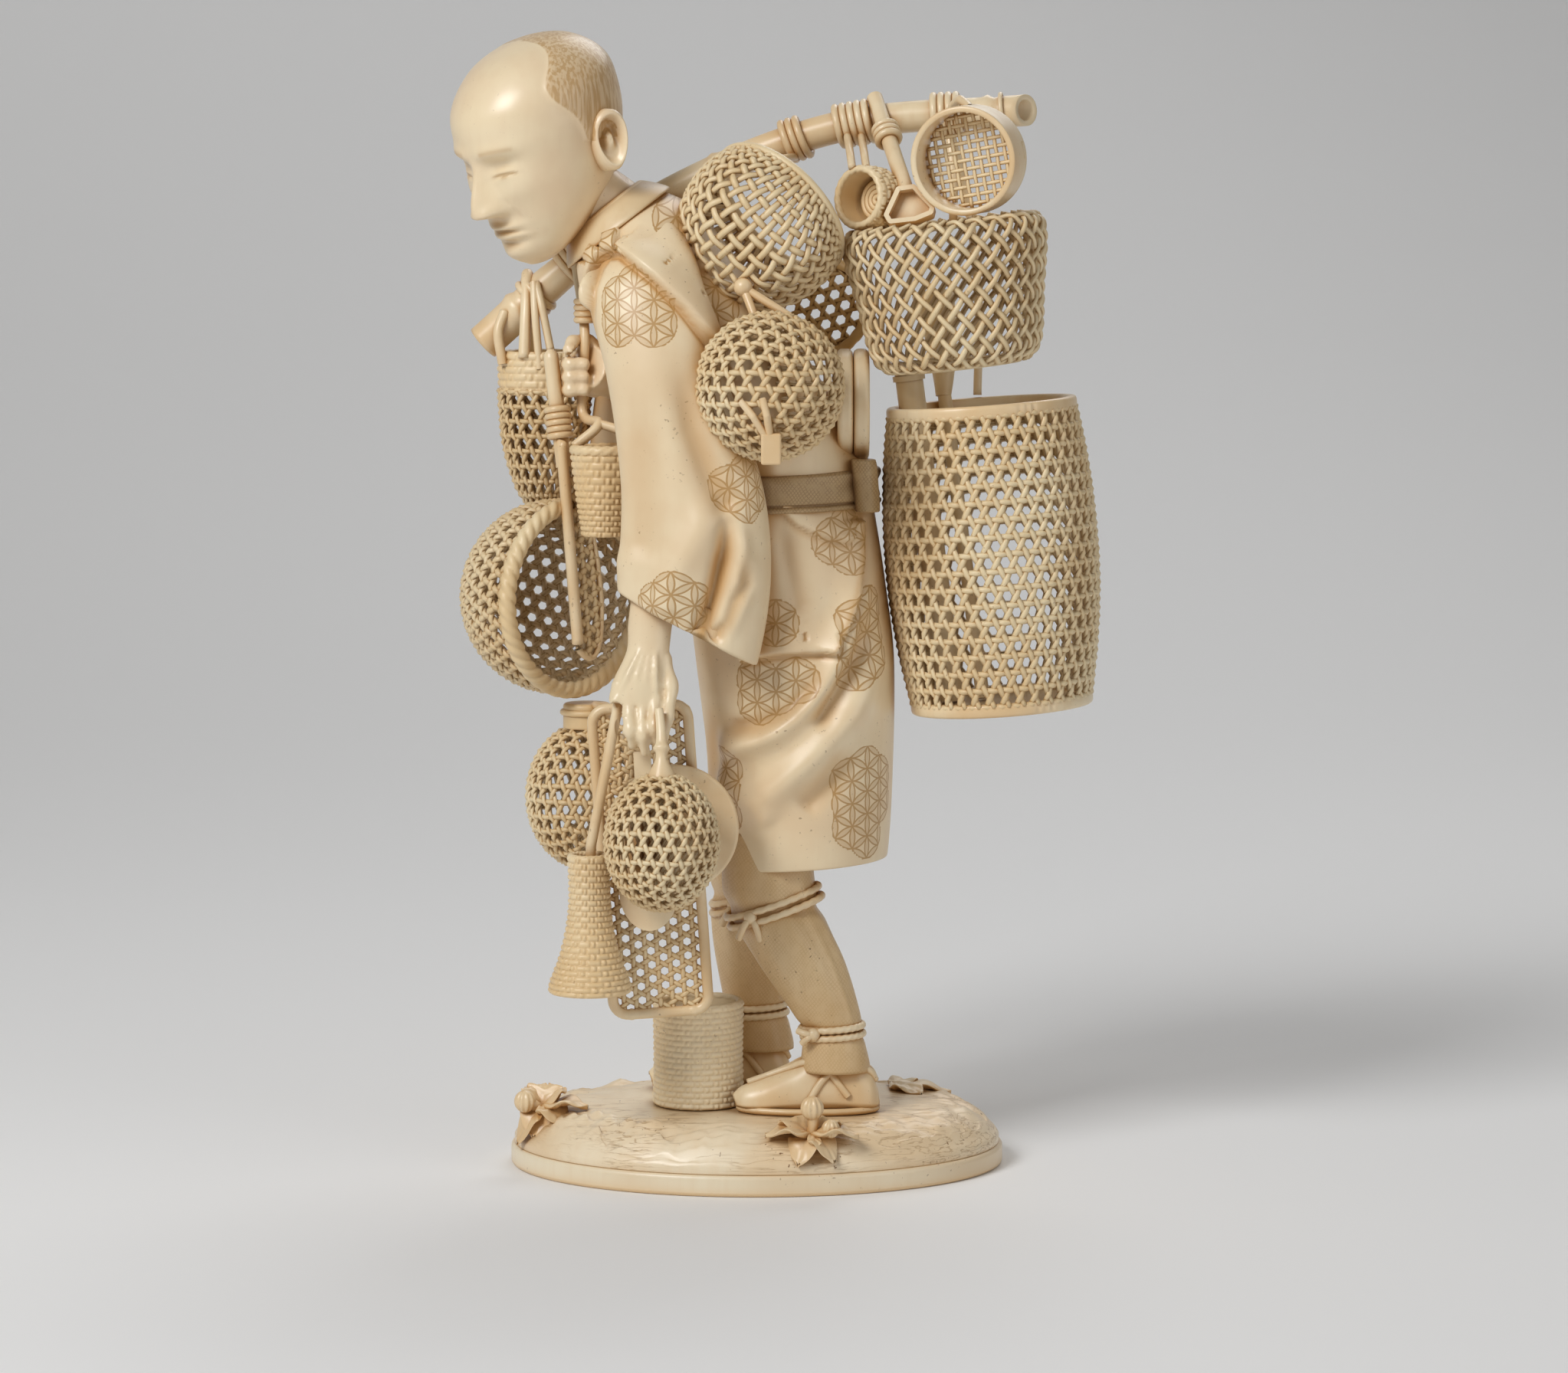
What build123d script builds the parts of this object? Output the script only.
from build123d import *
import math
import os

# Carved okimono of a walking basket seller. Millimetres, +X is the picture's right,
# +Y runs away from the viewer, +Z is up, the origin is under the middle of the base.

os.makedirs("parts", exist_ok=True)

# Base
plate_half_length = 53.7
plate_half_width = 40.0
plate_thickness = 4.6
plate_edge_round = 0.9
mound_step = 0.8
mound_height = 9.0
ground_half_length = 37.0
ground_half_width = 26.5
dowel_radius = 1.6
dowel_grip = 3.2
joint_clearance = 0.05
ground = plate_thickness + mound_height

# Legs and feet
foot_length = 31.0
foot_half_width = 4.9
ankle_rise = 12.4
ankle_half = 7.4
calf_half = 9.9
near_foot_y = -14.0
far_foot_y = 13.0
knee_spread = 9.6

# Robe, sash and torso
hem_rise = 53.6
waist_rise = 129.9
skirt_half_length = 21.6
skirt_half_depth = 21.5
skirt_wall = 2.2
hem_recess = 9.0
sash_height = 8.0
knot_width = 5.6
knot_height = 11.2
knot_lean = -6.0
waist_x = 4.5
waist_half_length = 20.6
waist_half_depth = 20.0
waist_spigot = 8.0
spigot_rise = 16.0
shoulder_x = -25.0
shoulder_rise = 186.0
shoulder_half_depth = 21.0
neck_base = Vector(-30.0, -1.0, ground + 192.5)
neck_radius = 8.2
neck_tenon = 5.0
cuff_recess = 7.0
wrist_radius = 4.0

# Head, set on a turned and bowed frame
head_centre = Vector(-45.2, -6.0, ground + 208.0)
head_turn = 40.0
head_bow = 25.0
head_height = 44.0
head_half_width = 16.8
head_half_depth = 19.4

# Carrying pole
pole_radius = 3.5
pole_bore = 2.3
pole_front = Vector(-60.0, 20.0, ground + 164.4)
pole_middle = Vector(-18.0, 14.5, ground + 197.6)
pole_rear = Vector(58.0, 4.0, ground + 214.9)

# Basket work
wall = 1.3
strand = 1.5
cord_radius = 0.9
seat_gap = 0.1
barrel_foot_radius = 19.2
barrel_belly_radius = 22.6
barrel_top_radius = 20.0
barrel_height = 66.4
hoop_height = 2.8
hoop_bulge = 0.6
barrel_columns = 20
barrel_foot = Vector(53.3, 0.0, ground + 86.2)
barrel_lean = -4.2
lattice_foot_radius = 17.5
lattice_top_radius = 22.1
lattice_height = 31.0
lattice_round = 4.0
lattice_columns = 18
lattice_foot = Vector(43.2, -8.0, ground + 160.4)
lattice_lean = -6.5
cap_radius = 17.6
cap_lip = 6.0
cap_centre = Vector(1.4, -10.5, ground + 190.4)
cap_mouth = Vector(0.62, 0.5, 0.6)
ball_radius = 15.6
ball_centre = Vector(3.0, -31.0, ground + 157.1)
hand_ball_radius = 12.0
hand_ball_waist = 5.0
hand_ball_centre = Vector(-19.6, -41.6, ground + 62.4)
jar_radius = 13.3
jar_waist = 5.5
jar_centre = Vector(-37.0, 5.0, ground + 66.2)
jar_neck_radius = 5.2
jar_neck_height = 4.4
scoop_radius = 21.0
scoop_lip = 5.0
scoop_centre = Vector(-43.2, 5.3, ground + 109.9)
scoop_mouth = Vector(0.74, -0.67, 0.0)
scoop_rim_radius = 1.5
bucket_radius = 10.0
bucket_height = 35.0
bucket_band = 9.0
bucket_foot = Vector(-46.6, 20.0, ground + 127.8)
pail_top_radius = 7.0
pail_foot_radius = 5.2
pail_height = 19.0
pail_foot = Vector(-32.5, -8.0, ground + 124.0)
trumpet_top_radius = 4.2
trumpet_foot_radius = 8.5
trumpet_height = 29.7
trumpet_foot = Vector(-35.0, -34.7, ground + 29.3)
stand_radius = 10.0
stand_height = 23.0
stand_x = -12.7
stand_y = -5.0
sieve_radius = 11.7
sieve_depth = 9.0
sieve_centre = Vector(44.9, -17.0, ground + 204.2)
sieve_face = Vector(-0.33, -0.94, -0.06)
cup_lash_x = 21.0
ladle_deep = 3.6
toggle_length = 6.6
cup_radius = 6.7
cup_depth = 8.0
cup_centre = Vector(24.2, -9.5, ground + 196.0)
cup_face = Vector(-0.66, -0.74, 0.1)
tray_width = 22.6
tray_length = 68.0
tray_bar = 1.3
tray_top = Vector(-24.8, -24.4, ground + 90.2)
tray_swing = 4.0
lid_radius = 13.6
lid_thickness = 2.0
hat_radius = 12.0
hat_thickness = 3.4
hat_x = 17.3
tube_radius = 3.0


# Small makers

def lift(x, y, rise):
    """A point given by its height over the ground."""
    return Vector(x, y, ground + rise)


def ring(plane, half_x, half_y, square=2.0, folds=0, depth=0.0, phase=0.0):
    """A closed section: an oval, squarer or wavier where asked."""
    points = []
    steps = 16
    for i in range(steps):
        a = 2 * math.pi * i / steps
        c = math.cos(a)
        s = math.sin(a)
        k = 1 + depth * math.cos(folds * a + phase)
        x = half_x * k * math.copysign(abs(c) ** (2 / square), c)
        y = half_y * k * math.copysign(abs(s) ** (2 / square), s)
        points.append((x, y))
    return plane * make_face(Spline(*points, periodic=True))


def level(centre, lean=0.0):
    """A plane tipped about the cross axis by the lean in degrees."""
    r = math.radians(lean)
    along = (math.cos(r), 0, -math.sin(r))
    return Plane(origin=centre, x_dir=along, z_dir=(math.sin(r), 0, math.cos(r)))


def stack(stations):
    """Loft through tipped oval sections: centre, half length, half depth, lean."""
    return loft([ring(level(c, lean), hx, hy) for c, hx, hy, lean in stations])


def limb(stations, side=(0, 1, 0)):
    """Loft through ovals set square to the run of their centres."""
    faces = []
    last = len(stations) - 1
    for i, (centre, half_side, half_other) in enumerate(stations):
        run = Vector(stations[min(i + 1, last)][0]) - Vector(stations[max(i - 1, 0)][0])
        run = run.normalized()
        across = Vector(side) - run * Vector(side).dot(run)
        plane = Plane(origin=centre, x_dir=across, z_dir=run)
        faces.append(ring(plane, half_side, half_other))
    return loft(faces)


def rod(a, b, radius):
    """A straight round bar between two points."""
    a = Vector(a)
    run = Vector(b) - a
    return extrude(Plane(origin=a, z_dir=run) * Circle(radius), run.length)


def cord(points, radius=cord_radius):
    """A carved cord: straight runs with a round at every turn."""
    out = rod(points[0], points[1], radius)
    for i in range(1, len(points) - 1):
        out += Pos(*points[i]) * Sphere(radius)
        out += rod(points[i], points[i + 1], radius)
    return out


def finger(points, radius):
    """A finger: a bent cord with a round tip."""
    return cord(points, radius) + Pos(*points[-1]) * Sphere(radius)


def turned(points):
    """A solid turned about Z from (radius, height) points."""
    return revolve(make_face(Polyline(*[(r, 0, z) for r, z in points], close=True)), axis=Axis.Z)


def pot(outer, thick, floor):
    """An open pot: outer (radius, height) points from the foot to the rim."""
    inner = [(r - thick, z) for r, z in outer]
    inner[0] = (inner[0][0], outer[0][1] + floor)
    return turned([(0, outer[0][1])] + outer + inner[::-1] + [(0, outer[0][1] + floor)])


def lump(outer):
    """The same outer points filled solid."""
    return turned([(0, outer[0][1])] + outer + [(0, outer[-1][1])])


def winding(inner_radius, cord_r, turns):
    """Turns of cord laid side by side round a bar, bound into one ring."""
    mean = inner_radius + cord_r
    height = 2 * cord_r * turns
    edges = Polyline((mean, 0, 0), (inner_radius, 0, 0), (inner_radius, 0, height), (mean, 0, height))
    for k in range(turns):
        top = height - 2 * cord_r * k
        low = top - 2 * cord_r
        edges += ThreePointArc((mean, 0, top), (mean + cord_r, 0, top - cord_r), (mean, 0, low))
    return Pos(0, 0, -height / 2) * revolve(make_face(edges), axis=Axis.Z)


def side_tools(radius, deep, shape, rows, columns, first, pitch):
    """Cutters set round a turned wall in rows that step by half a pitch."""
    unit = extrude(shape, deep)
    tools = []
    for j in range(rows):
        for i in range(columns):
            a = 2 * math.pi * (i + 0.5 * (j % 2)) / columns
            d = (math.cos(a), math.sin(a), 0)
            t = (-math.sin(a), math.cos(a), 0)
            start = (radius * d[0], radius * d[1], first + pitch * j)
            tools.append(Plane(origin=start, x_dir=t, z_dir=d).location * unit)
    return tools


def dome_tools(radius, deep, shape, rows, pitch, middle=0.0):
    """Cutters set square to a ball on rows of the given polar angle in degrees."""
    unit = extrude(shape, deep)
    tools = []
    for j, polar in enumerate(rows):
        b = math.radians(polar)
        count = max(1, round(2 * math.pi * (radius + deep / 2) * math.sin(b) / pitch))
        lift_z = 0.0 if polar == 90 else math.copysign(middle / 2, math.cos(b))
        for i in range(count):
            a = 2 * math.pi * (i + 0.5 * (j % 2)) / count
            d = Vector(math.sin(b) * math.cos(a), math.sin(b) * math.sin(a), math.cos(b))
            t = (-math.sin(a), math.cos(a), 0)
            start = d * radius + Vector(0, 0, lift_z)
            tools.append(Plane(origin=start, x_dir=t, z_dir=d).location * unit)
    return tools


def facing(origin, axis, side=(0, 1, 0)):
    """A place whose Z runs along the axis."""
    axis = Vector(axis).normalized()
    across = Vector(side) - axis * Vector(side).dot(axis)
    return Plane(origin=origin, x_dir=across, z_dir=axis).location


def leaf(root, tip, half_width, thick, up=(0, 0, 1)):
    """A pointed leaf with a thick middle."""
    root = Vector(root)
    run = Vector(tip) - root
    stations = []
    for t, w in ((0.0, 0.25), (0.3, 0.95), (0.62, 0.8), (1.0, 0.12)):
        bow = Vector(up) * (thick * 1.6 * math.sin(math.pi * t))
        stations.append((root + run * t + bow, half_width * w, thick * (0.5 + 0.5 * w)))
    return limb(stations, side=run.cross(Vector(up)))


def largest(shape):
    """The main solid of a cut, leaving out stray chips."""
    return max(shape.solids(), key=lambda s: s.volume)

# Base plate, mound and the dowels between them

plate = extrude(Ellipse(plate_half_length, plate_half_width), plate_thickness)
plate = fillet(plate.edges(), plate_edge_round)
mound_half_length = plate_half_length - mound_step
mound_half_width = plate_half_width - mound_step
mound_sections = []
for share, tall, shift in ((1.0, 0.0, 0.0), (0.99, 0.3, 0.0), (0.9, 0.62, -0.3), (0.7, 0.82, -0.6),
                           (0.4, 0.94, -1.0), (0.0, 1.0, -1.5)):
    length = ground_half_length + (mound_half_length - ground_half_length) * share
    width = ground_half_width + (mound_half_width - ground_half_width) * share
    at = level((shift, 0, plate_thickness + mound_height * tall))
    mound_sections.append(ring(at, length, width, folds=5, depth=0.01 * (1 - share)))
mound = loft(mound_sections)
dowel_places = ((-30.0, 0.0), (16.0, 18.0), (16.0, -18.0))
dowels = []
for x, y in dowel_places:
    low = (x, y, plate_thickness - dowel_grip)
    top = (x, y, plate_thickness + dowel_grip)
    dowels.append(rod(low, top, dowel_radius))
    hole = rod(low, top, dowel_radius + joint_clearance)
    plate -= hole
    mound -= hole

# Feet: a socked foot on a straw sole, pegged to the ground


def foot(heel_x, y, ankle_x):
    """A foot that points along -X with its ankle stump and sole."""
    part = []
    for t, half, tall in ((0.0, 0.55, 5.0), (0.14, 0.86, 9.5), (0.42, 0.92, 10.5), (0.7, 1.0, 7.2),
                          (0.9, 0.92, 5.4), (1.0, 0.5, 3.6)):
        centre = (heel_x - foot_length * t, y, ground + 1.2)
        plane = Plane(origin=centre, x_dir=(0, 1, 0), z_dir=(-1, 0, 0))
        part.append(ring(plane, foot_half_width * half, tall))
    upper = loft(part)
    stump = stack([(lift(ankle_x, y, 4.0), 5.4, 4.4, 0), (lift(ankle_x, y, 8.0), 5.6, 4.6, 0),
                   (lift(ankle_x, y, ankle_rise + 3.0), 5.2, 4.6, 0)])
    middle = heel_x - foot_length / 2
    outline = ring(level(lift(middle, y, 0)), foot_length / 2 + 0.5, foot_half_width + 0.6, square=2.6)
    sole = extrude(outline, 1.6)
    body = upper + stump
    floor = Pos(middle, y, ground - 10) * Box(60, 40, 20)
    return body - floor + sole


near_heel_x = 26.6
far_heel_x = 7.8
near_ankle_x = 17.0
far_ankle_x = 0.6
left_foot = foot(near_heel_x, near_foot_y, near_ankle_x)
right_foot = foot(far_heel_x, far_foot_y, far_ankle_x)
foot_pegs = []
for x, y in ((near_heel_x - 9, near_foot_y), (far_heel_x - 9, far_foot_y)):
    low = lift(x, y, -dowel_grip)
    top = lift(x, y, dowel_grip)
    foot_pegs.append(rod(low, top, dowel_radius))
    hole = rod(low, top, dowel_radius + joint_clearance)
    mound -= hole
    if y == near_foot_y:
        left_foot -= hole
    else:
        right_foot -= hole

# Legs in wrapped gaiters, with two cord ties each


def leg(ankle, knee, y_low, y_high):
    """A gaitered calf from the ankle up into the robe's hem recess."""
    stations = []
    for t, swell in ((0.0, 0.0), (0.16, -0.28), (0.45, 0.85), (0.74, 1.08), (0.9, 1.0), (1.0, 0.9)):
        rise = ankle_rise + (hem_rise + hem_recess - 2.0 - ankle_rise) * t
        bow = knee[0] if t > 0.7 else ankle + (knee[0] - ankle) * t / 0.7
        half = ankle_half + (calf_half - ankle_half) * swell
        y = y_low + (y_high - y_low) * t
        stations.append((lift(bow, y, rise), half, half * 0.84, 0))
    return stack(stations)


left_leg = leg(near_ankle_x, (2.6, 0), near_foot_y, -knee_spread)
right_leg = leg(far_ankle_x, (-0.6, 0), far_foot_y, knee_spread)
left_leg -= left_foot
right_leg -= right_foot

# Robe skirt with a hollow hem, and the spigot that carries the torso


def skirt(inset):
    """The skirt's outside, or its inside when inset by the wall."""
    sections = []
    for t, cx, length, depth, fold in ((0.0, 9.2, 0.9, 0.92, 0.02), (0.3, 9.4, 0.94, 0.98, 0.014),
                                       (0.58, 8.2, 1.0, 1.0, 0.008), (0.8, 6.2, 1.0, 0.98, 0.004),
                                       (1.0, waist_x, waist_half_length / skirt_half_length,
                                        waist_half_depth / skirt_half_depth, 0.0)):
        at = level(lift(cx, 0, hem_rise + (waist_rise - hem_rise) * t))
        sections.append(ring(at, skirt_half_length * length - inset, skirt_half_depth * depth - inset,
                             folds=6, depth=fold, phase=0.6))
    return loft(sections)


lower_robe = skirt(0)
hollow = skirt(skirt_wall) & Pos(0, 0, ground + hem_rise) * Box(200, 200, 2 * hem_recess)
lower_robe -= hollow
waist = lift(waist_x, 0, waist_rise)
lower_robe += rod(waist - Vector(0, 0, 2), waist + Vector(0, 0, spigot_rise), waist_spigot)
left_leg = largest(left_leg - lower_robe)
right_leg = largest(right_leg - lower_robe)
spigot_hole = rod(waist - Vector(0, 0, 1), waist + Vector(0, 0, spigot_rise + 0.2),
                  waist_spigot + joint_clearance)

# Sash round the waist, its knot behind

sash_outline = ring(level(waist), waist_half_length + 1.4, waist_half_depth + 1.4)
waist_sash = fillet(extrude(sash_outline, sash_height).edges(), 1.0) - spigot_hole
knot_middle = waist + Vector(waist_half_length * 0.86, -waist_half_depth * 0.62, sash_height / 2 + 0.3)
knot_band = RectangleRounded(knot_width, 8.0, 1.6)
sash_knot = Pos(*knot_middle) * Rot(0, knot_lean, 0) * extrude(knot_band, knot_height / 2, both=True)
sash_knot = fillet(sash_knot.faces().sort_by(Axis.Z)[-1].edges(), 0.7)
sash_knot = sash_knot - waist_sash - lower_robe

# Torso

chest = sash_height + waist_rise
upper_robe = stack([(lift(waist_x, 0, chest), waist_half_length, waist_half_depth, 0),
                    (lift(-2.2, 0, chest + 11.5), 18.8, 21.0, -10),
                    (lift(-10.6, 0, chest + 24.5), 17.8, 22.6, -24),
                    (lift(-18.6, 0, chest + 37.0), 16.4, 23.0, -32),
                    (lift(shoulder_x, 0, shoulder_rise), 14.2, shoulder_half_depth, -35),
                    (neck_base - Vector(0.8, 0, 1.0), 10.4, 12.0, -38)])
upper_robe -= spigot_hole
pole_line = ThreePointArc(pole_front, pole_middle, pole_rear)


def pole_place(x):
    """Share of the pole's run whose point lies at the given X."""
    low = 0.0
    high = 1.0
    for _ in range(40):
        mid = (low + high) / 2
        if (pole_line @ mid).X < x:
            low = mid
        else:
            high = mid
    return (low + high) / 2


def pole_sweep(radius):
    """A round bar along the pole's bend."""
    start = Plane(origin=pole_line @ 0, z_dir=pole_line % 0)
    return sweep(start * Circle(radius), path=pole_line)


pole_body = pole_sweep(pole_radius)
upper_robe -= pole_sweep(pole_radius + joint_clearance)

# Head on its neck tenon

turn = math.radians(head_turn)
bow = math.radians(head_bow)
ahead = Vector(-math.cos(turn), -math.sin(turn), 0)
face_way = ahead * math.cos(bow) - Vector(0, 0, math.sin(bow))
crown_way = ahead * math.sin(bow) + Vector(0, 0, math.cos(bow))
head_frame = Plane(origin=head_centre, x_dir=(face_way * -1).cross(crown_way), z_dir=crown_way)


def head_point(x, y, z):
    """A point in the head's own frame: x across, -y forward, z to the crown."""
    return head_frame.from_local_coords(Vector(x, y, z))


skull = []
for z, wide, long, back in ((-0.49, 0.3, 0.24, -11.0), (-0.4, 0.6, 0.56, -6.0), (-0.22, 0.84, 0.84, -2.0),
                            (0.0, 0.97, 0.97, 0.0), (0.16, 1.0, 1.0, 0.6), (0.33, 0.9, 0.92, 1.2),
                            (0.45, 0.6, 0.62, 1.8), (0.505, 0.22, 0.22, 2.0)):
    at = Plane(origin=(0, back, z * head_height), z_dir=(0, 0, 1))
    skull.append(ring(at, head_half_width * wide, head_half_depth * long))
head = loft(skull)
nose = limb([(Vector(0, -head_half_depth + 1.6, 6.0), 1.7, 1.2),
             (Vector(0, -head_half_depth - 0.4, 0.0), 2.2, 2.0),
             (Vector(0, -head_half_depth - 0.6, -4.4), 3.4, 2.6)], side=(1, 0, 0))
head += nose
for side in (-1, 1):
    ear = limb([(Vector(side * (head_half_width - 2.0), 4.0, -1.0), 3.4, 5.6),
                (Vector(side * (head_half_width + 1.2), 4.8, -0.4), 3.8, 6.4),
                (Vector(side * (head_half_width + 2.0), 5.0, -0.2), 2.6, 5.2)])
    head += ear
head = head_frame.location * head
neck_run = (neck_base - head_centre).normalized()
neck_end = neck_base + neck_run * 1.0
tenon_end = neck_end + neck_run * 11.0
head += rod(head_centre + neck_run * 6, neck_end, neck_radius)
head += rod(neck_end - neck_run * 2, tenon_end, neck_tenon)
head = head - pole_sweep(pole_radius + joint_clearance)
upper_robe -= rod(neck_end, tenon_end + neck_run * 0.2, neck_tenon + joint_clearance)
upper_robe -= rod(neck_end - neck_run * 14, neck_end, neck_radius + joint_clearance)
upper_robe = largest(upper_robe)
head = head - upper_robe

# Sleeves and hands

cuff_tip = lift(-14.5, -27.5, 105.9)
left_sleeve = stack([(lift(-25.0, -14.5, 187.0), 8.5, 5.0, -30), (lift(-24.0, -20.5, 179.5), 11.8, 7.6, -18),
                     (lift(-19.6, -25.0, 161.5), 12.0, 8.6, -6), (lift(-13.6, -26.5, 138.0), 14.8, 9.0, 4),
                     (lift(-12.6, -27.2, 121.5), 16.2, 8.8, 14), (cuff_tip, 16.6, 7.2, 28)])
wrist = lift(-20.6, -28.0, 107.0)
cuff_hollow = stack([(wrist + Vector(0, 0, -8), 7.0, 5.2, 0),
                     (wrist + Vector(0.3, 0.2, cuff_recess), 6.4, 5.0, 0)])
left_sleeve -= cuff_hollow
arm_top = wrist + Vector(0.6, 0.3, cuff_recess + 9)
left_sleeve -= rod(wrist, arm_top + Vector(0, 0, 0.2), wrist_radius + joint_clearance)
left_sleeve = largest(left_sleeve - upper_robe - waist_sash - lower_robe)

left_hand = rod(wrist - Vector(0, 0, 1), arm_top, wrist_radius)
left_hand += limb([(wrist + Vector(0, 0, 2), 4.4, 3.8), (wrist + Vector(-0.9, -0.6, -5), 5.4, 3.9),
                   (wrist + Vector(-3.0, -1.8, -11), 7.4, 4.2), (wrist + Vector(-4.4, -2.6, -16), 6.8, 3.6)],
                  side=(1, 0, 0))
knuckles = wrist + Vector(-4.2, -3.6, -13.0)
for k in range(4):
    start = knuckles + Vector(-4.8 + 3.2 * k, -0.6 + 0.2 * k, 0.8 * math.sin(k * 1.05))
    bend = start + Vector(0.8 - 0.4 * k, -2.6, -5.6)
    tip = bend + Vector(1.2 - 0.5 * k, 2.2, -4.6)
    left_hand += finger([start, bend, tip], 1.75)
thumb = wrist + Vector(3.2, -2.6, -7.0)
left_hand += finger([thumb, thumb + Vector(2.6, -1.4, -5.6), thumb + Vector(0.6, -2.2, -10.8)], 1.9)

right_sleeve = stack([(lift(-25.0, 13.5, 187.0), 8.5, 5.0, -30), (lift(-24.5, 19.5, 179.0), 10.5, 7.2, -20),
                      (lift(-25.0, 21.0, 163.0), 9.4, 7.2, -8), (lift(-27.4, 18.5, 148.0), 8.6, 7.0, 0),
                      (lift(-28.6, 16.0, 134.0), 8.0, 6.0, 6)])
fist = lift(-36.0, 2.4, 159.4)
elbow = lift(-27.0, 17.0, 154.5)
arm_run = (fist - elbow).normalized()
right_hand = rod(elbow, fist, wrist_radius)
right_hand += limb([(fist - arm_run * 8.0, 4.2, 4.4), (fist - arm_run * 3.0, 5.0, 6.2),
                    (fist + arm_run * 1.4, 4.4, 6.0)], side=(0.8, 0.6, 0))
for k in range(4):
    z = 4.8 - 3.2 * k
    out = fist + Vector(-4.6, 1.4, z)
    knuckle = fist + Vector(1.0, 3.6, z)
    right_hand += finger([knuckle, out, fist + Vector(-4.0, -3.2, z), fist + Vector(0.4, -3.6, z)], 1.65)
right_sleeve = right_sleeve - upper_robe - pole_sweep(pole_radius + joint_clearance)
right_sleeve = largest(right_sleeve - right_hand)

# Pole with its bamboo joints and bored ends

shoulder_pole = pole_body
for x in (-52.0, -8.0, 20.0, 50.0):
    t = pole_place(x)
    joint_ring = Plane(origin=pole_line @ t, z_dir=pole_line % t)
    shoulder_pole += joint_ring.location * (Cylinder(pole_radius + 0.35, 1.0))
rear_face = Plane(origin=pole_line @ 1, z_dir=(pole_line % 1) * -1)
front_face = Plane(origin=pole_line @ 0, z_dir=pole_line % 0)
for end in (rear_face, front_face):
    shoulder_pole -= extrude(end * Circle(pole_bore), 8.0)


def lash(x, turns, cord_r=0.8):
    """Turns of cord round the pole at the given X."""
    t = pole_place(x)
    at = Plane(origin=pole_line @ t, z_dir=pole_line % t)
    return at.location * winding(pole_radius + 0.12, cord_r, turns)


# Openwork makers


def kagome_shape(pitch):
    """The open cell of a three way weave of the given pitch."""
    clear = pitch / 2 - strand / math.sqrt(3)
    return RegularPolygon(clear, 6)


def hollow_ball(radius, middle, rows, pitch, thick=wall):
    """A round basket with open cells, and its filled outside."""
    solid = Pos(0, 0, middle / 2) * Sphere(radius) + Pos(0, 0, -middle / 2) * Sphere(radius)
    inside = Pos(0, 0, middle / 2) * Sphere(radius - thick)
    inside += Pos(0, 0, -middle / 2) * Sphere(radius - thick)
    if middle:
        solid += Cylinder(radius, middle)
        inside += Cylinder(radius - thick, middle)
    tools = dome_tools(radius - thick - 1.2, thick + 2.4, kagome_shape(pitch), rows, pitch, middle)
    return (solid - inside) - tools, solid


def hollow_bowl(radius, lip, rows, pitch, shape, thick=wall):
    """A round bowl with open cells whose mouth lies at the lip height, and its filled outside."""
    keep = Pos(0, 0, lip - radius) * Box(4 * radius, 4 * radius, 2 * radius)
    solid = Sphere(radius) & keep
    shell = solid - Sphere(radius - thick)
    tools = dome_tools(radius - thick - 1.2, thick + 2.4, shape, rows, pitch)
    return shell - tools, solid


# Rear load: barrel with hoops and floor

barrel_at = level(barrel_foot, barrel_lean).location
barrel_low = hoop_height
barrel_high = barrel_height - hoop_height
barrel_points = [(barrel_foot_radius, barrel_low), (barrel_belly_radius, barrel_height * 0.36),
                 (barrel_belly_radius, barrel_height * 0.62), (barrel_top_radius, barrel_high)]
barrel_wall = turned(barrel_points + [(r - wall, z) for r, z in barrel_points[::-1]])
barrel_pitch = 2 * math.pi * barrel_belly_radius / barrel_columns
barrel_step = barrel_pitch * math.sqrt(3) / 2
barrel_rows = int((barrel_high - barrel_low - 1.0) / barrel_step)
barrel_first = (barrel_low + barrel_high) / 2 - barrel_step * (barrel_rows - 1) / 2
barrel_wall -= side_tools(barrel_foot_radius - wall - 2.0, 8.0, kagome_shape(barrel_pitch * 0.97),
                          barrel_rows, barrel_columns, barrel_first, barrel_step)
barrel_wall = barrel_at * barrel_wall


def hoop(radius, low):
    """A split bamboo hoop with a rounded outside."""
    ring_solid = turned([(radius - wall - 0.4, low), (radius + hoop_bulge, low),
                         (radius + hoop_bulge, low + hoop_height), (radius - wall - 0.4, low + hoop_height)])
    return fillet(ring_solid.edges(), 0.5)


barrel_top_hoop = barrel_at * hoop(barrel_top_radius, barrel_high)
barrel_foot_hoop = hoop(barrel_foot_radius, 0)
floor_radius = barrel_foot_radius - wall
barrel_foot_hoop += Pos(0, 0, hoop_height / 2) * Cylinder(floor_radius, 1.4)
barrel_foot_hoop = barrel_at * barrel_foot_hoop
barrel_floor_top = hoop_height / 2 + 0.7
barrel_fill = barrel_at * lump([(barrel_foot_radius + hoop_bulge, 0),
                                (barrel_belly_radius, barrel_height * 0.36),
                                (barrel_belly_radius, barrel_height * 0.62),
                                (barrel_top_radius + hoop_bulge, barrel_height)])

# Rear load: the wide lattice basket with a closed top

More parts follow.
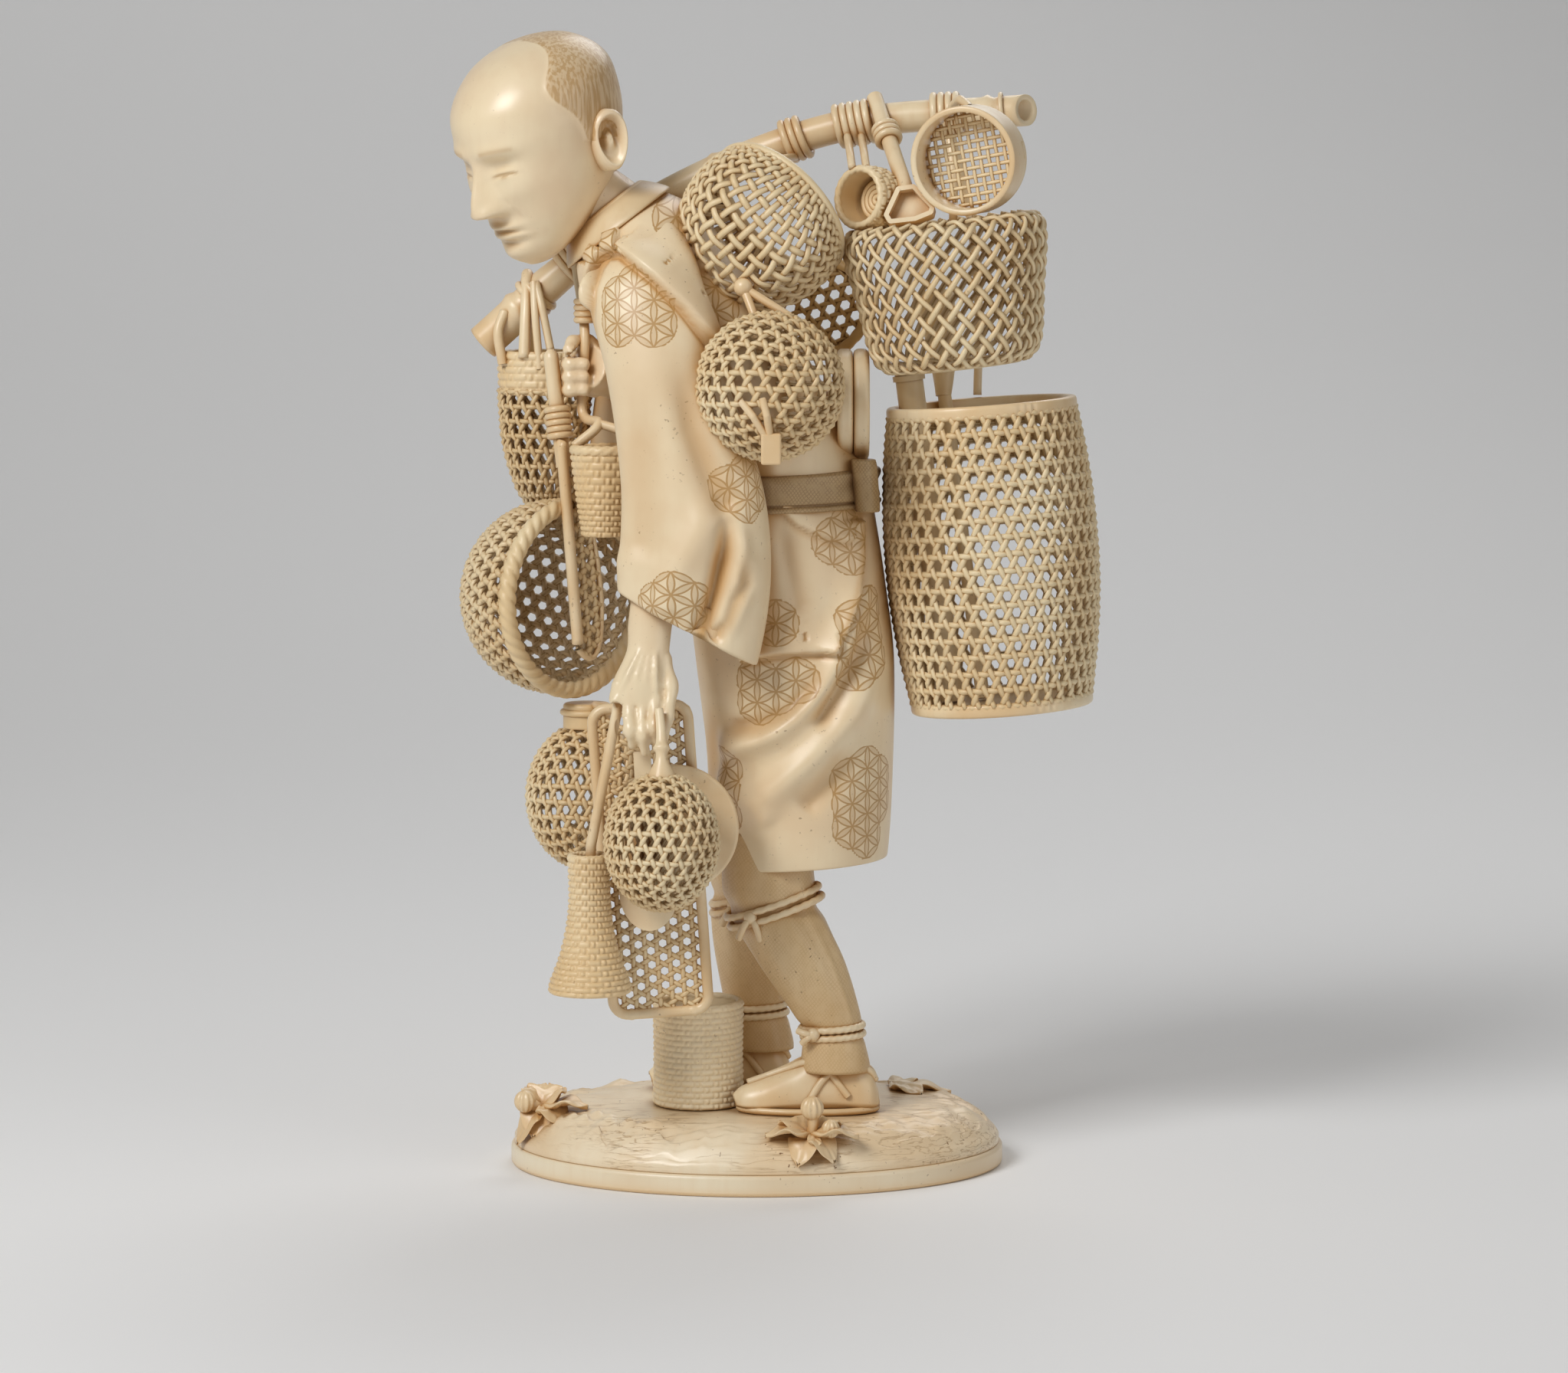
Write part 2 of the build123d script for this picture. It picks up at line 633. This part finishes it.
lattice_at = level(lattice_foot, lattice_lean).location
on_foot = (Align.CENTER, Align.CENTER, Align.MIN)
lattice_fill = Cone(lattice_foot_radius, lattice_top_radius, lattice_height, align=on_foot)
lattice_fill = fillet(lattice_fill.edges().filter_by(GeomType.CIRCLE), lattice_round)
lattice_inside = Pos(0, 0, wall) * Cone(lattice_foot_radius - wall, lattice_top_radius - wall,
                                        lattice_height - 2 * wall, align=on_foot)
lattice_inside = fillet(lattice_inside.edges().filter_by(GeomType.CIRCLE), lattice_round - wall)
lattice_basket = lattice_fill - lattice_inside
lattice_pitch = 2 * math.pi * (lattice_foot_radius + lattice_top_radius) / 2 / lattice_columns
lattice_step = lattice_pitch * 0.6
lattice_rows = int((lattice_height - 2 * lattice_round + 1.0) / lattice_step) + 1
lattice_first = lattice_height / 2 - lattice_step * (lattice_rows - 1) / 2
diamond_wide = lattice_pitch / 2 - strand * 0.62
diamond_tall = lattice_step - strand * 0.74
diamond = make_face(Polyline((diamond_wide, 0), (0, diamond_tall), (-diamond_wide, 0), (0, -diamond_tall),
                             close=True))
lattice_basket -= side_tools(lattice_foot_radius - 4.0, 10.0, diamond, lattice_rows, lattice_columns,
                             lattice_first, lattice_step)
lattice_basket = lattice_at * lattice_basket
lattice_fill = lattice_at * lattice_fill

# Rear load: cap basket of crossed strips, the round basket and its cords

cap_at = facing(cap_centre, cap_mouth)
cap_rows = (180, 162, 144, 126, 108, 90, 76)
cap_shape = Rectangle(3.4, 3.4)
cap_basket, cap_fill = hollow_bowl(cap_radius, cap_lip, cap_rows, 5.2, cap_shape)
cap_rim = turned([(math.sqrt(cap_radius ** 2 - cap_lip ** 2) - wall - 0.3, cap_lip - 1.2),
                  (math.sqrt(cap_radius ** 2 - cap_lip ** 2) + 0.5, cap_lip - 1.2),
                  (math.sqrt(cap_radius ** 2 - cap_lip ** 2) + 0.5, cap_lip + 1.2),
                  (math.sqrt(cap_radius ** 2 - cap_lip ** 2) - wall - 0.3, cap_lip + 1.2)])
cap_basket = cap_at * (cap_basket + cap_rim)
cap_fill = cap_at * (cap_fill + cap_rim)

ball_rows = (0, 26, 50, 72, 94, 116, 140, 164)
ball_basket, ball_fill = hollow_ball(ball_radius, 0.0, ball_rows, 6.6)
ball_basket = Pos(*ball_centre) * ball_basket
ball_fill = Pos(*ball_centre) * ball_fill
knot = lift(-2.6, -25.0, 177.6)
ball_cords = Pos(*knot) * Rot(35, 50, 0) * Sphere(2.0)
for dx in (-3.2, 4.2):
    ball_cords += cord([knot, ball_centre + Vector(dx, 3.0, ball_radius - 1.2)])
ball_cords += cord([knot, cap_centre + (knot - cap_centre).normalized() * (cap_radius - 1.0)])
ball_cords = largest(ball_cords - ball_fill - cap_fill)
toggle_middle = ball_centre + Vector(0.3, -ball_radius * 0.86, -ball_radius * 0.79)
ball_strap = Pos(*toggle_middle) * Rot(6, 0, 0) * Box(4.2, 2.0, toggle_length)
ball_strap = fillet(ball_strap.edges(), 0.5)
for start, bend in (((-5.9, -13.8, -2.5), (-3.4, -15.0, -5.6)), ((-1.5, -15.0, -1.8), (-0.6, -15.6, -5.4))):
    lace_end = toggle_middle + Vector(start[0] * 0.16, -0.2, toggle_length * 0.36)
    ball_strap += cord([ball_centre + Vector(start), ball_centre + Vector(bend), lace_end], 0.8)
ball_strap = largest(ball_strap - ball_fill)

# Rear load: goods standing in the barrel

tube_foot = barrel_at * Pos(-11.0, 2.0, barrel_floor_top)
tube_low = Vector(*tube_foot.position)
tube_high = Vector(32.3, 2.0, ground + 162.0)
bamboo_tube = rod(tube_low, tube_high, tube_radius)
mid_tube = tube_low + (tube_high - tube_low) * 0.94
tube_joint = Plane(origin=mid_tube, z_dir=tube_high - tube_low).location
bamboo_tube += tube_joint * Cylinder(tube_radius + 0.5, 1.2)
bamboo_tube = largest(bamboo_tube - lattice_fill - barrel_foot_hoop)
whisk_foot = Vector(*(barrel_at * Pos(-4.0, 1.0, barrel_floor_top)).position)
whisk_neck = lift(40.8, 15.6, 155.0)
whisk_tip = lift(38.6, 21.5, 175.0)
whisk = rod(whisk_foot, whisk_neck, 1.5)
whisk += limb([(whisk_neck - Vector(0, 0.4, 2.0), 1.7, 1.7), (whisk_neck + Vector(0, 0.8, 4.0), 2.6, 2.2),
               (whisk_tip, 4.6, 3.4)], side=(1, 0, 0))
whisk = largest(whisk - barrel_foot_hoop)

# Rear load: sieve, ladle, cup, shallow winnow, pair of hats

sieve_at = facing(sieve_centre, sieve_face)
sieve_ring = Cylinder(sieve_radius, sieve_depth) - Cylinder(sieve_radius - wall, sieve_depth + 2)
sieve_ring = sieve_at * sieve_ring - lattice_fill
mesh_radius = sieve_radius - wall
mesh = Circle(mesh_radius)
cell = 2.9
for i in range(-3, 4):
    for j in range(-3, 4):
        if math.hypot(i, j) * cell < mesh_radius - 2.0:
            mesh -= Pos(i * cell, j * cell) * Rectangle(cell - 1.1, cell - 1.1)
sieve_mesh = sieve_at * Pos(0, 0, -sieve_depth / 2 + 1.6) * extrude(mesh, 0.9)

pole_over = pole_line @ pole_place(27.0)
ladle_cross = pole_over + Vector(0, -pole_radius - 1.4, 0)
ladle_bowl = lift(32.6, -14.5, 195.4)
ladle_run = (ladle_cross - ladle_bowl).normalized()
ladle_at = facing(ladle_bowl, (-0.12, -0.95, 0.3), side=(1, 0, 0.12))
trowel = Polyline((-2.3, 3.2), (1.5, 3.2), (5.2, -2.2), (4.6, -3.9), (0.8, -4.9), (-4.9, -4.7),
                  (-5.8, -2.6), close=True)
trowel = fillet(make_face(trowel).vertices(), 0.8)
scoop_hollow = offset(trowel, -1.0)
ladle = extrude(trowel, ladle_deep / 2, both=True)
ladle -= Pos(0, 0, -ladle_deep / 2 + 1.1) * extrude(scoop_hollow, ladle_deep)
ladle = ladle_at * ladle
ladle += rod(ladle_bowl + ladle_run * 2.6, ladle_cross + ladle_run * 7.0, 1.7)
ladle = largest(ladle - pole_sweep(pole_radius + joint_clearance) - lattice_fill - sieve_ring)

cup_at = facing(cup_centre, cup_face)
cup_points = [(cup_radius - 1.2, 0), (cup_radius, 1.2), (cup_radius, cup_depth)]
cup_basket = cup_at * Pos(0, 0, -cup_depth / 2) * pot(cup_points, 1.2, 1.4)
cup_basket = largest(cup_basket - lattice_fill - ladle)

winnow = Circle(10.5)
for i in range(-2, 3):
    for j in range(-2, 3):
        spot = Vector(i * 3.8 + 1.9 * (j % 2), j * 3.4, 0)
        if spot.length < 8.0:
            winnow -= Pos(spot.X, spot.Y) * RegularPolygon(1.4, 6)
winnow_at = facing(lift(14.0, 10.5, 172.0), (-0.25, -0.9, 0.25))
winnow_basket = winnow_at * (extrude(winnow, 1.2) + Pos(0, 0, 1.0) * Torus(10.5, 1.3))
winnow_basket = largest(winnow_basket - upper_robe - lattice_fill)

travel_hat = []
for k in range(2):
    at = lift(hat_x + (hat_thickness + seat_gap) * k, -4.0, 152.0)
    disc = extrude(Plane(origin=at, z_dir=(1, 0, 0)) * Circle(hat_radius), hat_thickness)
    travel_hat.append(fillet(disc.edges(), 1.2))
travel_hat = [largest(d - upper_robe - waist_sash - sash_knot) for d in travel_hat]

# Cords of the rear load

rear_cords = [lash(8.0, 3), lash(cup_lash_x, 5), lash(41.0, 4), lash(54.0, 2)]
rear_cords[0] += cord([pole_line @ pole_place(8.0) + Vector(0, -1.0, -pole_radius - 0.7),
                       cap_centre + Vector(cap_mouth.X, cap_mouth.Y, cap_mouth.Z).normalized() * cap_lip
                       + Vector(0, 0, 15.0)])
hang = pole_line @ pole_place(41.0)
hoop_seat = Vector(*(barrel_at * Pos(0, barrel_top_radius - 0.5, barrel_height)).position)
rear_cords[2] += cord([hang + Vector(0, pole_radius + 0.8, 0),
                       Vector(hoop_seat.X, hoop_seat.Y + 0.4, hang.Z - 18), hoop_seat])
rear_cords[2] += cord([hang + Vector(0, -pole_radius - 0.8, 0),
                       sieve_centre + Vector(-3.0, 4.0, sieve_radius - 0.2)])
rear_cords[2] += cord([hang + Vector(0, 0, -pole_radius - 0.8),
                       Vector(hang.X + 1.0, hang.Y - 2.0, ground + 188.0)])
cup_hang = pole_line @ pole_place(cup_lash_x)
cup_lip = Vector(*(cup_at * Pos(0, 0, cup_depth / 2 - 1.0)).position) + Vector(0, 0, cup_radius - 0.6)
for side in (-1, 1):
    rear_cords[1] += cord([cup_hang + Vector(0.9 * side, -pole_radius - 0.8, 0),
                           cup_lip + Vector(1.1 * side, 0.6 * side, 0)])
rear_fixed = (lattice_fill, cap_fill, barrel_top_hoop, sieve_ring, sieve_mesh, ladle, cup_basket,
              shoulder_pole)
for fixed in rear_fixed:
    rear_cords = [largest(c - fixed) for c in rear_cords]

# Front load: creel on the pole's end

bucket_points = [(3.2, 0), (6.4, bucket_height * 0.16), (8.9, bucket_height * 0.42),
                 (bucket_radius, bucket_height - bucket_band), (bucket_radius, bucket_height)]
bucket_basket = pot(bucket_points, wall, 1.4)
bucket_cell = RegularPolygon(1.55, 6)
bucket_basket -= side_tools(bucket_radius - 5.5, 9.0, bucket_cell, 4, 12, bucket_height * 0.3, 3.9)
bucket_basket = Pos(*bucket_foot) * bucket_basket
bucket_fill = Pos(*bucket_foot) * lump(bucket_points)
bucket_top = bucket_foot + Vector(0, 0, bucket_height)
over = pole_line @ pole_place(bucket_foot.X - 3.0)
handle_points = [bucket_top + Vector(-4.0, -bucket_radius + 0.9, -1.0),
                 over + Vector(0, -pole_radius - 1.6, pole_radius),
                 over + Vector(0, 0, pole_radius + 1.2),
                 over + Vector(0, pole_radius + 1.6, pole_radius),
                 bucket_top + Vector(-4.0, bucket_radius - 0.9, -1.0)]
bucket_handle = largest(cord(handle_points, 1.1) - bucket_fill - pole_sweep(pole_radius + joint_clearance))

# Front load: great scoop with a roped rim

scoop_at = facing(scoop_centre, scoop_mouth, side=(0, 0, 1))
scoop_rows = (180, 161, 142, 124, 107, 91)
scoop_basket, scoop_fill = hollow_bowl(scoop_radius, scoop_lip - scoop_rim_radius, scoop_rows, 7.2,
                                       kagome_shape(7.0))
scoop_basket = scoop_at * scoop_basket
scoop_fill = scoop_at * scoop_fill
mouth_radius = math.sqrt(scoop_radius ** 2 - scoop_lip ** 2) - wall / 2
scoop_rim = Pos(0, 0, scoop_lip + seat_gap) * Torus(mouth_radius, scoop_rim_radius)
for i in range(24):
    a = math.radians(15 * i)
    spot = Vector(mouth_radius * math.cos(a), mouth_radius * math.sin(a), scoop_lip + seat_gap)
    ridge = facing(spot, (-math.sin(a), math.cos(a), 0.7)) * Torus(scoop_rim_radius, 0.35)
    scoop_rim += ridge
scoop_rim = scoop_at * scoop_rim
scoop_rim = largest(scoop_rim - scoop_fill)

# Front load: long net scoop, pail and the cord through the fist

net_top = lift(-44.4, 1.0, 163.6)
net_neck = lift(-41.9, -1.6, 143.0)
net_foot = lift(-37.6, -4.0, 97.0)
net_run = net_foot - net_neck
net_face = Vector(0.75, -0.66, 0.08)
net_at = facing(net_neck + net_run * 0.5, net_face, side=net_run)
net_long = net_run.length
net_belly = 10.0
net_corner = 2.2
net_skew = 9.0
net_bar = 1.6
net_cell = 3.7
net_joint = 0.1


def pod(margin):
    """Outline of the net, straight along the handle and bellied towards its foot, drawn in by a margin."""
    bow = Pos(-1.6, 1.1) * Rot(0, 0, net_skew) * Ellipse(net_long * 0.56 - margin, net_belly * 0.83 - margin)
    bow &= Pos(0, net_belly + margin) * Rectangle(2 * net_long, 2 * net_belly)
    return Pos(0, -net_bar) * fillet(bow.vertices(), net_corner - margin * 0.6)


mesh_face = pod(0.8)
mesh_field = pod(net_bar + 1.3).face()
for i in range(-6, 7):
    for j in range(3):
        spot = Vector((i + 0.5 * (j % 2)) * net_cell, 1.6 + j * net_cell * 0.78)
        if mesh_field.is_inside(spot):
            mesh_face -= Pos(spot.X, spot.Y) * RegularPolygon(1.2, 6)
net_window = extrude(pod(1.8), 1.1, both=True)
net_frame = net_at * (extrude(pod(0), 1.1, both=True) - net_window)
net_frame += rod(net_top, net_neck + net_run * net_joint, net_bar)
net_seat = pod(0.8 - joint_clearance)
net_frame -= net_at * extrude(net_seat, 0.45 + joint_clearance, both=True)
net_mesh = net_at * extrude(mesh_face, 0.45, both=True)
net_handle = net_neck + net_run * net_joint - net_top
bind_at = facing(net_top + net_handle * 0.62, net_handle)
net_binding = bind_at * winding(net_bar + 0.06, 0.7, 5)
scoop_rim = largest(scoop_rim - net_frame - net_mesh)

pail_points = [(pail_foot_radius, 0), (pail_top_radius, pail_height - 2.4), (pail_top_radius, pail_height)]
pail_basket = pot(pail_points, 1.2, 1.2)
pail_basket += Pos(0, 0, pail_height - 1.2) * (Torus(pail_top_radius - 0.2, 1.1))
pail_basket = Pos(*pail_foot) * pail_basket
pail_basket = largest(pail_basket - left_sleeve)
pail_fill = Pos(*pail_foot) * lump(pail_points)
pail_rim = pail_foot + Vector(0, 0, pail_height)

sling_top = pole_line @ pole_place(-39.0)
front_sling = lash(-39.0, 4)
front_sling += cord([sling_top + Vector(0, -pole_radius - 0.7, -1.0), fist + Vector(-1.0, -1.0, 8.0),
                     fist + Vector(-1.6, -1.2, -9.0), pail_rim + Vector(-1.2, 2.0, 5.0),
                     pail_rim + Vector(-pail_top_radius + 0.6, 0, 0.2)], 1.1)
front_sling += cord([pail_rim + Vector(-1.2, 2.0, 5.0),
                     pail_rim + Vector(pail_top_radius - 0.6, 0, 0.2)], 1.0)
front_sling += Pos(*(fist + Vector(-1.0, -1.0, 12.5))) * winding(0.8, 0.7, 4)
front_sling = largest(front_sling - pail_fill - pail_basket - net_frame)
upper_robe = largest(upper_robe - front_sling)
right_hand = largest(right_hand - front_sling - net_frame)
right_sleeve = largest(right_sleeve - front_sling)

# Left hand bundle: tray, jar, round basket, lid, paddle, trumpet vase and its stick

swing = math.radians(tray_swing)
tray_down = Vector(math.sin(swing), -0.02, -math.cos(swing)).normalized()
tray_at = facing(tray_top + tray_down * (tray_length / 2), (0, -1, 0), side=tray_down)
tray_outer = RectangleRounded(tray_length, tray_width, 4.0)
tray_inner = RectangleRounded(tray_length - 4 * tray_bar, tray_width - 4 * tray_bar, 2.0)
tray_mesh_face = RectangleRounded(tray_length - 2 * tray_bar, tray_width - 2 * tray_bar, 3.0)
tray_pitch = 5.2
for i in range(-6, 7):
    for j in range(-2, 3):
        x = i * tray_pitch * 0.98 + tray_pitch * 0.49 * (j % 2)
        y = j * tray_pitch * 0.78
        if abs(x) < tray_length / 2 - 4.5 and abs(y) < tray_width / 2 - 2.4:
            tray_mesh_face -= Pos(x, y) * RegularPolygon(1.7, 6)
tray = extrude(tray_outer - tray_inner, tray_bar, both=True)
tray = fillet(tray.edges(), 0.45) + extrude(tray_mesh_face, 0.5, both=True)
tray = tray_at * tray
left_hand = largest(left_hand - tray)

jar_rows = (30, 56, 90, 124, 150, 180)
jar_basket, jar_fill = hollow_ball(jar_radius, jar_waist, jar_rows, 6.4)
jar_basket = Pos(*jar_centre) * jar_basket
jar_fill = Pos(*jar_centre) * jar_fill
jar_top = jar_centre + Vector(0, 0, jar_radius + jar_waist / 2)
jar_neck = Pos(*(jar_top - Vector(0, 0, 1.6))) * Cylinder(jar_neck_radius, jar_neck_height + 1.6,
                                                          align=(Align.CENTER, Align.CENTER, Align.MIN))
jar_neck = fillet(jar_neck.edges(), 0.8)
jar_neck += Pos(*(jar_top + Vector(0, 0, 2.4))) * Torus(jar_neck_radius, 0.7)
jar_neck = largest(jar_neck - jar_fill)
grip = wrist + Vector(-4.0, 0.4, -15.5)
jar_cords = cord([jar_top + Vector(2.0, -3.4, jar_neck_height - 0.2), grip + Vector(-6.0, 6.0, -3.5), grip])
jar_cords = largest(jar_cords - jar_neck - left_hand - tray - scoop_fill)

hand_ball_rows = (0, 34, 62, 90, 118, 146, 180)
hand_ball, hand_ball_fill = hollow_ball(hand_ball_radius, hand_ball_waist, hand_ball_rows, 6.2)
hand_ball = Pos(*hand_ball_centre) * hand_ball
hand_ball_fill = Pos(*hand_ball_centre) * hand_ball_fill
hand_ball_top = hand_ball_centre + Vector(0, 0, hand_ball_radius + hand_ball_waist / 2)
hand_cord = limb([(knuckles + Vector(4.4, -4.0, -2.0), 1.4, 1.2),
                  (hand_ball_top + Vector(0.6, 0.4, 6.0), 2.0, 1.6),
                  (hand_ball_top + Vector(0, 0, -1.5), 1.5, 1.5)], side=(1, 0, 0))
hand_cord = largest(hand_cord - left_hand - hand_ball_fill)

tray_front = tray_top.Y - tray_bar - seat_gap
lid_centre = Vector(-17.2, tray_front - 1.0, ground + 63.4)
round_lid = extrude(Plane(origin=lid_centre, z_dir=(0, -1, 0.02)) * Circle(lid_radius), lid_thickness)
round_lid = fillet(round_lid.edges(), 0.7)
round_lid = largest(round_lid - tray - hand_ball_fill)
paddle_top = Vector(-24.0, lid_centre.Y - lid_thickness - 1.4, ground + 80.0)
paddle_foot = Vector(-22.3, lid_centre.Y - lid_thickness - 1.4, ground + 42.0)
paddle_run = paddle_foot - paddle_top
paddle_long = paddle_run.length
paddle_outline = Pos(paddle_long * 0.34, 0) * Rectangle(paddle_long * 0.68, 3.6)
paddle_outline += Pos(paddle_long * 0.78, 0) * Ellipse(paddle_long * 0.22, 6.2)
paddle = facing(paddle_top, (0, -1, 0), side=paddle_run) * extrude(paddle_outline, 1.0, both=True)
paddle = largest(paddle - hand_ball_fill - round_lid - left_hand - tray)

trumpet_points = [(trumpet_foot_radius, 0), (trumpet_foot_radius, 1.6), (6.2, 8.0), (4.6, 15.0),
                  (trumpet_top_radius, 21.0), (trumpet_top_radius + 0.3, trumpet_height)]
trumpet_basket = pot(trumpet_points, 1.2, 1.4)
trumpet_basket = Pos(*trumpet_foot) * trumpet_basket
trumpet_basket = largest(trumpet_basket - tray)
stick_low = trumpet_foot + Vector(0, 0, 1.5)
stick_high = knuckles + Vector(-3.2, 1.0, 1.0)
bundle_stick = rod(stick_low, stick_low + Vector(0.3, 0.2, trumpet_height), 1.1)
bundle_stick += Pos(*(stick_low + Vector(0.3, 0.2, trumpet_height))) * Sphere(1.1)
bundle_stick += rod(stick_low + Vector(0.3, 0.2, trumpet_height), stick_high, 1.1)
bundle_stick = largest(bundle_stick - left_hand - trumpet_basket - tray - paddle - round_lid)

# Ground: the low stand basket, flowers and leaves

stand_points = [(stand_radius, 0), (stand_radius, stand_height)]
stand_basket = pot(stand_points, 1.6, 1.6)
stand_basket += Pos(0, 0, stand_height - 0.9) * Torus(stand_radius - 0.5, 0.9)
stand_basket = Pos(*lift(stand_x, stand_y, 0)) * stand_basket

bud = Vector(11.8, -35.4, plate_thickness + mound_height * 0.9)
flower_front = limb([(bud + Vector(-4.0, 0.5, -0.4), 2.0, 2.0), (bud + Vector(-1.0, 0.2, 0.6), 3.4, 3.4),
                     (bud + Vector(3.6, -0.4, 1.0), 3.2, 3.2), (bud + Vector(6.2, -0.8, 1.0), 1.2, 1.2)])
for tip in (Vector(-10, -1.0, 0.6), Vector(-8.5, 3.5, 3.6), Vector(-6.0, -2.5, -3.0),
            Vector(10.5, 1.0, 2.6)):
    flower_front += leaf(bud, bud + tip, 3.2, 1.0)
flower_front = largest(flower_front - mound - plate)
bloom = Vector(-44.5, -9.0, plate_thickness + mound_height * 1.02)
flower_left = Pos(*bloom) * Sphere(3.0)
for k in range(6):
    a = math.radians(60 * k + 15)
    reach = Vector(7.6 * math.cos(a), 7.6 * math.sin(a), 0.8 + 1.4 * math.cos(a))
    flower_left += leaf(bloom, bloom + reach, 3.4, 1.0)
flower_left = largest(flower_left - mound - plate)
sprig = lift(30.0, 14.0, 0.4)
leaf_rear = leaf(sprig, sprig + Vector(13.0, 1.0, -0.6), 3.6, 1.2)
leaf_rear += leaf(sprig, sprig + Vector(5.0, 8.0, -0.4), 3.0, 1.1)
leaf_rear += leaf(sprig, sprig + Vector(6.0, -8.5, 0.4), 3.0, 1.1)
leaf_rear = largest(leaf_rear - mound - plate)

# Last seats: whatever rests on the figure takes its shape

left_sleeve = largest(left_sleeve - left_hand - ball_fill - ball_cords)
upper_robe = largest(upper_robe - cap_fill - ball_fill - sash_knot)
left_foot = left_foot - stand_basket
pieces = {
    "base_plate": plate, "base_mound": mound, "base_pegs": dowels, "flower_front": flower_front,
    "flower_left": flower_left, "leaf_rear": leaf_rear, "foot_pegs": foot_pegs, "left_foot": left_foot,
    "right_foot": right_foot, "left_leg": left_leg, "right_leg": right_leg, "lower_robe": lower_robe,
    "waist_sash": waist_sash, "sash_knot": sash_knot, "upper_robe": upper_robe, "left_sleeve": left_sleeve,
    "right_sleeve": right_sleeve, "left_hand": left_hand, "right_hand": right_hand, "head": head,
    "shoulder_pole": shoulder_pole, "rear_cords": rear_cords, "cap_basket": cap_basket,
    "lattice_basket": lattice_basket, "barrel_wall": barrel_wall, "barrel_top_hoop": barrel_top_hoop,
    "barrel_foot_hoop": barrel_foot_hoop, "bamboo_tube": bamboo_tube, "whisk": whisk,
    "travel_hat": travel_hat, "winnow_basket": winnow_basket, "ball_basket": ball_basket,
    "ball_cords": ball_cords, "ball_strap": ball_strap, "sieve_ring": sieve_ring, "sieve_mesh": sieve_mesh,
    "ladle": ladle, "cup_basket": cup_basket, "bucket_basket": bucket_basket, "bucket_handle": bucket_handle,
    "scoop_basket": scoop_basket, "scoop_rim": scoop_rim, "net_frame": net_frame, "net_mesh": net_mesh,
    "net_binding": net_binding, "pail_basket": pail_basket, "front_sling": front_sling,
    "jar_basket": jar_basket, "jar_neck": jar_neck, "jar_cords": jar_cords, "tray": tray,
    "hand_ball": hand_ball, "hand_cord": hand_cord, "trumpet_basket": trumpet_basket, "paddle": paddle,
    "round_lid": round_lid, "bundle_stick": bundle_stick, "stand_basket": stand_basket,
}
for name, shape in pieces.items():
    solids = shape if isinstance(shape, list) else [shape]
    export_step(Compound(label=name, children=[s for s in solids]), f"parts/{name}.step")
